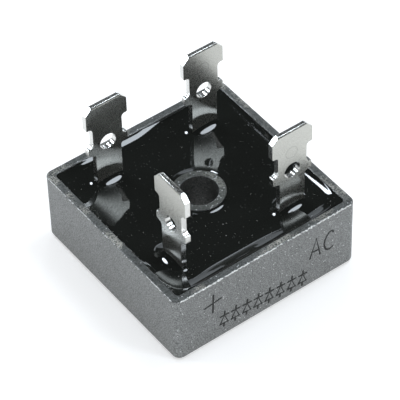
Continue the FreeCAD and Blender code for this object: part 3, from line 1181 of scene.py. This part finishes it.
def build_sign_row():
    tree, given, made = new_recipe(
        "sign_row",
        {"Count": (WHOLE_NUMBER, 8), "Start": (PLACE, None), "Step": (PLACE, None),
         "Slant": (NUMBER, 0.0), **LINE_INPUTS},
    )
    line = add_node(tree, "GeometryNodeMeshLine",
                    {"Count": given.outputs["Count"], "Start Location": given.outputs["Start"],
                     "Offset": given.outputs["Step"]}, mode="OFFSET")
    turn = add_node(tree, "ShaderNodeCombineXYZ", {"Y": given.outputs["Slant"]})
    signs = add_node(tree, "GeometryNodeInstanceOnPoints",
                     {"Points": line.outputs[0], "Instance": given.outputs["Geometry"],
                      "Rotation": turn.outputs[0]})
    real = add_node(tree, "GeometryNodeRealizeInstances", {"Geometry": signs.outputs[0]})
    passed_on = {label: given.outputs[label] for label in (*LINE_INPUTS, "Material")}
    inked = add_node(tree, "GeometryNodeGroup", {"Geometry": real.outputs[0], **passed_on},
                     node_tree=ink_recipe)
    return finish_recipe(tree, given, made, inked.outputs[0])


row_recipe = build_sign_row()
print("recipe:", row_recipe.name)

# %% [markdown]
# The ink is dark grey and a little worn: where the blasted grain stands up, metal shows through.

# %% Mix the ink and draw the marks
PLUS_SIGN = [[(-8.49, 8.64), (-8.57, 7.0), (-8.64, 5.55)],
             [(-9.85, 7.06), (-8.6, 7.20), (-7.35, 7.38)]]
LETTER_A = [[(6.82, 5.04), (7.83, 8.11), (8.44, 4.98)], [(7.13, 6.05), (8.19, 5.91)]]
LETTER_C = [[(10.60, 7.67), (10.42, 7.98), (10.15, 8.06), (9.82, 7.90), (9.50, 7.50),
             (9.24, 7.0), (9.13, 6.45), (9.16, 5.90), (9.27, 5.48), (9.46, 5.12),
             (9.72, 4.92), (10.0, 4.84), (10.49, 5.03)]]
SIGN_HALF, SIGN_LOW, SIGN_TIP, SIGN_TOP = 0.62, 0.55, 1.95, 2.6
DIODE_SIGN = [[(0, 0), (0, SIGN_LOW)],
              [(-SIGN_HALF, SIGN_LOW), (SIGN_HALF, SIGN_LOW), (0, SIGN_TIP),
               (-SIGN_HALF, SIGN_LOW)],
              [(-SIGN_HALF, SIGN_TIP), (SIGN_HALF, SIGN_TIP)],
              [(0, SIGN_TIP), (0, SIGN_TOP)]]
SIGN_COUNT = 8
SIGN_START = (-7.0, 1.86)
SIGN_STEP = (1.79, -0.13)
INK_GRAIN = {"Fine": 4800.0, "Coarse": 1300.0, "Contrast": 1.0}
INK_COLOUR = (0.012, 0.013, 0.012, 1)
WORN_INK_COLOUR = (0.14, 0.145, 0.14, 1)
WORN_PEAKS = (0.54, 0.70)
MOST_WORN = 0.5
INK_ROUGHNESS = (0.7, 0.5)
INK_SHINE = 0.35


def draw_lines(name, strokes, side):
    """A mesh of bare lines in the plane of the front side, from strokes in millimetres."""
    points, edges = [], []
    for stroke in strokes:
        first = len(points)
        points += [(x * MM, side, z * MM) for x, z in stroke]
        edges += [(first + i, first + i + 1) for i in range(len(stroke) - 1)]
    mesh = bpy.data.meshes.new(name)
    mesh.from_pydata(points, edges, [])
    return mesh


def mix_ink():
    material, tree, shader, place = new_material("worn_ink")
    height = place_group(tree, grain_group, dict(INK_GRAIN, Place=place)).outputs["Height"]
    gone = between(tree, height, *WORN_PEAKS, 0.0, MOST_WORN)
    tree.links.new(blend_colours(tree, gone, INK_COLOUR, WORN_INK_COLOUR),
                   shader.inputs["Base Color"])
    tree.links.new(rough_by_grain(tree, height, *INK_ROUGHNESS), shader.inputs["Roughness"])
    shader.inputs["Specular IOR Level"].default_value = INK_SHINE
    return material


worn_ink = mix_ink()
front = -cup_half
ink_values = {"Width": INK_WIDTH, "Flatness": INK_FLATNESS, "Side": front, "Material": worn_ink}
marks = [cook(name, draw_lines(name, strokes, front), ink_recipe, ink_values)
         for name, strokes in (("mark_plus", PLUS_SIGN), ("mark_ac", LETTER_A + LETTER_C))]
row_values = dict(ink_values, Count=SIGN_COUNT,
                  Start=(SIGN_START[0] * MM, front, SIGN_START[1] * MM),
                  Step=(SIGN_STEP[0] * MM, 0, SIGN_STEP[1] * MM),
                  Slant=math.atan2(-SIGN_STEP[1], SIGN_STEP[0]))
one_sign = draw_lines("diode_sign", DIODE_SIGN, 0)
marks.append(cook("mark_diode_row", one_sign, row_recipe, row_values))
print("marks:", [len(mark.data.polygons) for mark in marks])

# %% [markdown]
# Where the rim was cut, a thin burr was left along its edges. It is bright, it breaks off here and
# there, and it shows as a chain of fine points. A bright line in the material would look drawn. So
# the recipe strews small beads along a straight line, drops some, and gives each its own size and
# small shift. More are kept where a soft noise is high, which makes the chain patchy.

# %% Build the recipe for a burr
BEAD_LENGTHEN = 1.9
BEAD_SIZES = (0.3, 1.0)
BEAD_PATCHES = 420.0
BEAD_PATCH_EDGE = (0.38, 0.60)
BEAD_PATCH_KEPT = (0.15, 1.6)


def build_burr():
    tree, given, made = new_recipe(
        "burr_beads",
        {"Start": (PLACE, None), "End": (PLACE, None), "Beads": (WHOLE_NUMBER, 100),
         "Size": (NUMBER, 0.0001), "Wander": (NUMBER, 0.00002), "Kept": (NUMBER, 0.6),
         "Seed": (WHOLE_NUMBER, 1)},
    )
    line = add_node(tree, "GeometryNodeMeshLine",
                    {"Count": given.outputs["Beads"], "Start Location": given.outputs["Start"],
                     "Offset": given.outputs["End"]}, mode="END_POINTS")
    seed = given.outputs["Seed"]
    shift = random_place(tree, given.outputs["Wander"], seed)
    strewn = add_node(tree, "GeometryNodeSetPosition",
                      {"Geometry": line.outputs[0], "Offset": shift})
    patch = noise(tree, position(tree), BEAD_PATCHES, roughness=0.6)
    draw = random_number(tree, 0.0, 1.0, seed, extra=7.0)
    chance = calculate(tree, "MULTIPLY", given.outputs["Kept"],
                       between(tree, patch, *BEAD_PATCH_EDGE, *BEAD_PATCH_KEPT))
    kept = add_node(tree, "FunctionNodeCompare", {0: draw, 1: chance},
                    data_type="FLOAT", operation="LESS_THAN")
    bead = add_node(tree, "GeometryNodeMeshIcoSphere", {"Radius": 1.0, "Subdivisions": 1})
    size = calculate(tree, "MULTIPLY", given.outputs["Size"],
                     random_number(tree, *BEAD_SIZES, seed, extra=3.0))
    long_side = calculate(tree, "MULTIPLY", size, BEAD_LENGTHEN)
    way = add_node(tree, "ShaderNodeVectorMath",
                   {0: given.outputs["End"], 1: given.outputs["Start"]},
                   operation="SUBTRACT").outputs[0]
    turn = add_node(tree, "FunctionNodeAlignRotationToVector", {"Vector": way}, axis="X")
    scale = add_node(tree, "ShaderNodeCombineXYZ", {"X": long_side, "Y": size, "Z": size})
    beads = add_node(tree, "GeometryNodeInstanceOnPoints",
                     {"Points": strewn.outputs[0], "Selection": kept.outputs[0],
                      "Instance": bead.outputs[0], "Rotation": turn.outputs[0],
                      "Scale": scale.outputs[0]})
    return finish_recipe(tree, given, made, beads.outputs[0])


burr_recipe = build_burr()
print("recipe:", burr_recipe.name)

# %% [markdown]
# The burr is coarse along the front edge, finer along the left one, and hardly there along the
# inner edges, so each edge is a run of its own with its own values. The rim's rounded corners stay
# free. Each run has a fixed seed, so that the beads lie in the same places each time.

# %% Strew the burrs
EDGE_IN = 0.03 * MM
INNER_EDGE_IN = 0.02 * MM
RIM_CORNER = 0.9 * MM
POCKET_END = 1 * MM
# The burr is bare metal, but the beads are made pale and only partly metallic so that they show
# white from every side: that whiteness is painted highlight.
burr_metal = mix_plain("burr_metal", (0.86, 0.87, 0.86), metallic=0.35, roughness=0.35,
                       contrast=0.4)
outer = cup_half - EDGE_IN
outer_end = cup_half - RIM_CORNER
inner = pocket_half + INNER_EDGE_IN
inner_end = pocket_half - POCKET_END
top = rim_height - EDGE_IN
BURRS = {
    "burr_front": {"Start": (-outer_end, -outer, top), "End": (outer_end, -outer, top),
                   "Beads": 330, "Size": 0.100 * MM, "Wander": 0.07 * MM, "Kept": 0.85,
                   "Seed": 11},
    "burr_left": {"Start": (-outer, outer_end, top), "End": (-outer, -outer_end, top),
                  "Beads": 300, "Size": 0.060 * MM, "Wander": 0.05 * MM, "Kept": 0.65,
                  "Seed": 12},
    "burr_right": {"Start": (inner, inner_end, top), "End": (inner, -inner_end, top),
                   "Beads": 170, "Size": 0.050 * MM, "Wander": 0.06 * MM, "Kept": 0.40,
                   "Seed": 13},
    "burr_back": {"Start": (-inner_end, inner, top), "End": (inner_end, inner, top),
                  "Beads": 150, "Size": 0.035 * MM, "Wander": 0.05 * MM, "Kept": 0.35,
                  "Seed": 14},
    "burr_left_inner": {"Start": (-inner, inner_end, top), "End": (-inner, -inner_end, top),
                        "Beads": 220, "Size": 0.035 * MM, "Wander": 0.08 * MM, "Kept": 0.35,
                        "Seed": 15},
}


def strew_burr(name, values):
    values = dict(values, Material=burr_metal)
    return cook(name, bpy.data.meshes.new(name), burr_recipe, values)


burrs = [strew_burr(name, values) for name, values in BURRS.items()]
print("burrs:", [len(burr.data.polygons) for burr in burrs])

# %% [markdown]
# Some dust fell on the resin after it had set and stands proud of it, so it is modelled: each speck
# is a tiny flattened ball of twenty faces. The recipe scatters them over the flat top of the resin,
# thicker where a soft noise is high, and most of them small.

# %% Scatter the dust
DUST_PER_SQUARE_METRE = 1.1e6
DUST_SIZE = 0.045 * MM
DUST_SEED = 4
DUST_CLOUDS = 180.0
DUST_CLOUD_EDGE = (0.42, 0.66)
DUST_CLOUD_SHARE = (0.12, 1.0)
SMALLEST_SHARE = 0.2
MOSTLY_SMALL = 3.0
FLAKE_WIDTH, FLAKE_HEIGHT = 0.7, 0.4
FULL_TURN = 6.283
FLAT_ENOUGH = 0.80


def build_dust():
    tree, given, made = new_recipe(
        "dust_specks",
        {"Density": (NUMBER, 1e6), "Size": (NUMBER, 0.00003), "Seed": (WHOLE_NUMBER, 1)},
    )
    seed = given.outputs["Seed"]
    normal = tree.nodes.new("GeometryNodeInputNormal").outputs[0]
    lean = add_node(tree, "ShaderNodeSeparateXYZ", {"Vector": normal})
    open_top = add_node(tree, "FunctionNodeCompare", {0: lean.outputs["Z"], 1: FLAT_ENOUGH},
                        data_type="FLOAT", operation="GREATER_THAN")
    cloud = noise(tree, position(tree), DUST_CLOUDS, roughness=0.6)
    density = calculate(tree, "MULTIPLY", given.outputs["Density"],
                        between(tree, cloud, *DUST_CLOUD_EDGE, *DUST_CLOUD_SHARE))
    spots = add_node(tree, "GeometryNodeDistributePointsOnFaces",
                     {"Mesh": given.outputs["Geometry"], "Selection": open_top.outputs[0],
                      "Density": density, "Seed": seed}, distribute_method="RANDOM")
    flake = add_node(tree, "GeometryNodeMeshIcoSphere", {"Radius": 1.0, "Subdivisions": 1})
    draw = random_number(tree, 0.0, 1.0, seed, extra=5.0)
    draw = calculate(tree, "POWER", draw, MOSTLY_SMALL)
    share = calculate(tree, "ADD", calculate(tree, "MULTIPLY", draw, 1 - SMALLEST_SHARE),
                      SMALLEST_SHARE)
    size = calculate(tree, "MULTIPLY", given.outputs["Size"], share)
    scale = add_node(tree, "ShaderNodeCombineXYZ",
                     {"X": size, "Y": calculate(tree, "MULTIPLY", size, FLAKE_WIDTH),
                      "Z": calculate(tree, "MULTIPLY", size, FLAKE_HEIGHT)})
    turn = add_node(tree, "ShaderNodeCombineXYZ",
                    {"Z": random_number(tree, 0.0, FULL_TURN, seed, extra=9.0)})
    flakes = add_node(tree, "GeometryNodeInstanceOnPoints",
                      {"Points": spots.outputs["Points"], "Instance": flake.outputs[0],
                       "Rotation": turn.outputs[0], "Scale": scale.outputs[0]})
    return finish_recipe(tree, given, made, flakes.outputs[0])


dust_recipe = build_dust()
pale_dust = mix_plain("pale_dust", (0.62, 0.62, 0.58), metallic=0.0, roughness=0.8, contrast=0.5)
dust_values = {"Density": DUST_PER_SQUARE_METRE, "Size": DUST_SIZE, "Seed": DUST_SEED,
               "Material": pale_dust}
dust = cook("dust", resin.data.copy(), dust_recipe, dust_values)
print("dust faces:", len(dust.data.polygons))

# %% [markdown]
# One small bubble came up beside the boss and set there. It is a flattened ball of the same resin,
# sunk a little over half, so that a low dome stands out and throws a highlight of its own.

# %% Raise the bubble
BUBBLE_AT = Vector((-2.7 * MM, -2.75 * MM))
BUBBLE_RADIUS = 0.38 * MM
BUBBLE_HEIGHT = 0.20 * MM
BUBBLE_SUNK = 0.05 * MM


def raise_bubble():
    work = bmesh.new()
    bmesh.ops.create_uvsphere(work, u_segments=32, v_segments=20, radius=1.0)
    foot = resin_level + boss_collar(BUBBLE_AT.length) - BUBBLE_SUNK
    size = Vector((BUBBLE_RADIUS, BUBBLE_RADIUS, BUBBLE_HEIGHT))
    for vert in work.verts:
        vert.co = Vector((*BUBBLE_AT, foot)) + vert.co * size
    mesh = bpy.data.meshes.new("bubble")
    work.to_mesh(mesh)
    work.free()
    mesh.shade_smooth()
    mesh.materials.append(black_resin)
    piece = stand("bubble", mesh)
    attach(piece, "root")
    return piece


bubble = raise_bubble()
print("bubble faces:", len(bubble.data.polygons))
